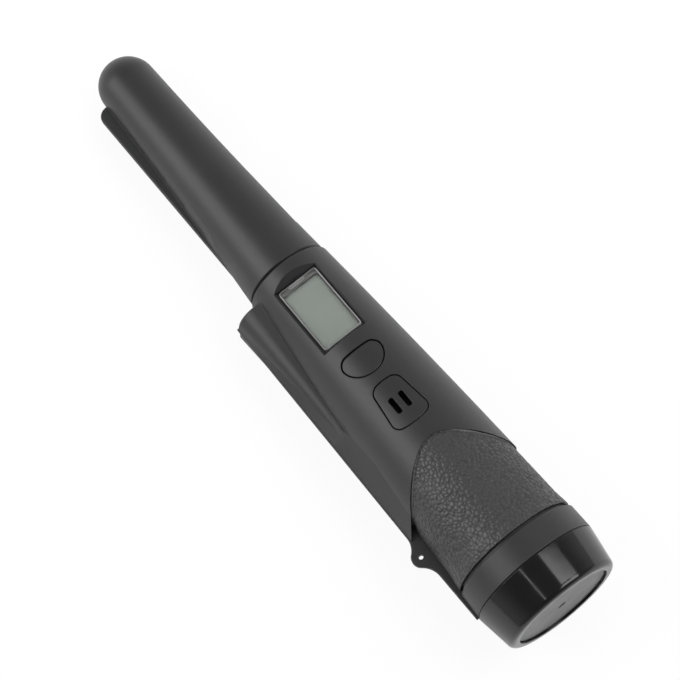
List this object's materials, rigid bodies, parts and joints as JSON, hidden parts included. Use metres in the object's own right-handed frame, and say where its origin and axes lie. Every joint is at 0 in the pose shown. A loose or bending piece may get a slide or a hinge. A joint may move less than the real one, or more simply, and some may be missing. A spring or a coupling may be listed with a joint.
{
  "type": "metal detecting pinpointer",
  "caption": "Hand-held probe with a display, one push button, a sounder grille, a leather-grained grip and a screw-on battery cap, for finding small metal things in soil.",
  "frame": {"origin": "centre of the battery cap's flat end face, on the long axis", "axes": "+X along the body to the probe's tip, +Z out of the display, +Y to the side of the keel, lug, lamp and blade"},
  "size_m": [0.24, 0.0489, 0.0441],
  "materials": {
    "shell_plastic": "fine matte grain",
    "key_plastic": "satin",
    "cap_plastic": "polished",
    "disc_plastic": "satin",
    "grip_leather": "pebbled grain",
    "window_glass": "clear, polished",
    "lcd_glass": "reflective display film",
    "white_plastic": "moulded",
    "black_rubber": "matte",
    "board": "green solder mask",
    "chip": "moulded",
    "tin": "drawn",
    "steel": "plated",
    "brass": "plain",
    "copper": "enamelled wire",
    "clear_plastic": "clear, polished",
    "mirror_coat": "vacuum plated",
    "ferrite": "ground",
    "battery_jacket": "printed foil jacket, plain",
    "red_wire": "insulation",
    "black_wire": "insulation"
  },
  "bodies": {
    "body": {"front_shell": "shell_plastic", "rear_shell": "shell_plastic", "shell_screws": "steel", "grip_pad_front": "grip_leather", "grip_pad_rear": "grip_leather", "display_window": "window_glass", "lcd_cell": "lcd_glass", "zebra_strips": "black_rubber", "lcd_frame": "white_plastic", "main_board": "board", "board_chips": "chip", "board_capacitors": "tin", "board_screws": "steel", "switch_body": "chip", "switch_dome": "steel", "speaker_grille": "key_plastic", "buzzer_gasket": "black_rubber", "buzzer_can": "chip", "piezo_disc": "brass", "lamp_lens": "clear_plastic", "lamp_holder": "key_plastic", "lamp_reflector": "mirror_coat", "lamp_led": "clear_plastic", "lamp_board": "board", "motor_can": "steel", "motor_boot": "black_rubber", "battery_tube": "key_plastic", "battery": "battery_jacket", "battery_studs": "steel", "battery_snap": "chip", "probe_shell": "shell_plastic", "probe_seal": "black_rubber", "ferrite_rod": "ferrite", "coil_bobbin": "white_plastic", "receive_coil": "copper", "transmit_coil": "copper", "tip_cushion": "black_rubber", "battery_lead_red": "red_wire", "battery_lead_black": "black_wire", "coil_leads": "black_wire", "lamp_leads": "red_wire", "motor_leads": "black_wire"},
    "button": {"power_button": "key_plastic", "switch_plunger": "white_plastic"},
    "cap_slider": {"cap_seal": "black_rubber"},
    "cap": {"battery_cap": "cap_plastic", "cap_end_disc": "disc_plastic", "battery_pad": "black_rubber"},
    "motor_rotor": {"motor_shaft": "steel", "motor_weight": "steel"}
  },
  "joints": [
    {"name": "button_press", "type": "slide", "parent": "body", "child": "button", "axis": [-0.0552, 0, -0.9985], "range_m": [0, 0.0005], "stiffness_N_per_m": 1500},
    {"name": "cap_slide", "type": "slide", "parent": "body", "child": "cap_slider", "axis": [-1, 0, 0], "range_m": [0, 0.0105]},
    {"name": "cap_turn", "type": "hinge", "parent": "cap_slider", "child": "cap", "pos_m": [0, 0, 0], "axis": [-1, 0, 0], "range_deg": [0, 1085]},
    {"name": "motor_spin", "type": "hinge", "parent": "body", "child": "motor_rotor", "pos_m": [0.096, -0.0045, -0.0085], "axis": [1, 0, 0], "continuous": true}
  ],
  "couplings": [
    {"joint": "cap_turn", "follows": "cap_slide", "rad_per_m": 1795.2}
  ]
}
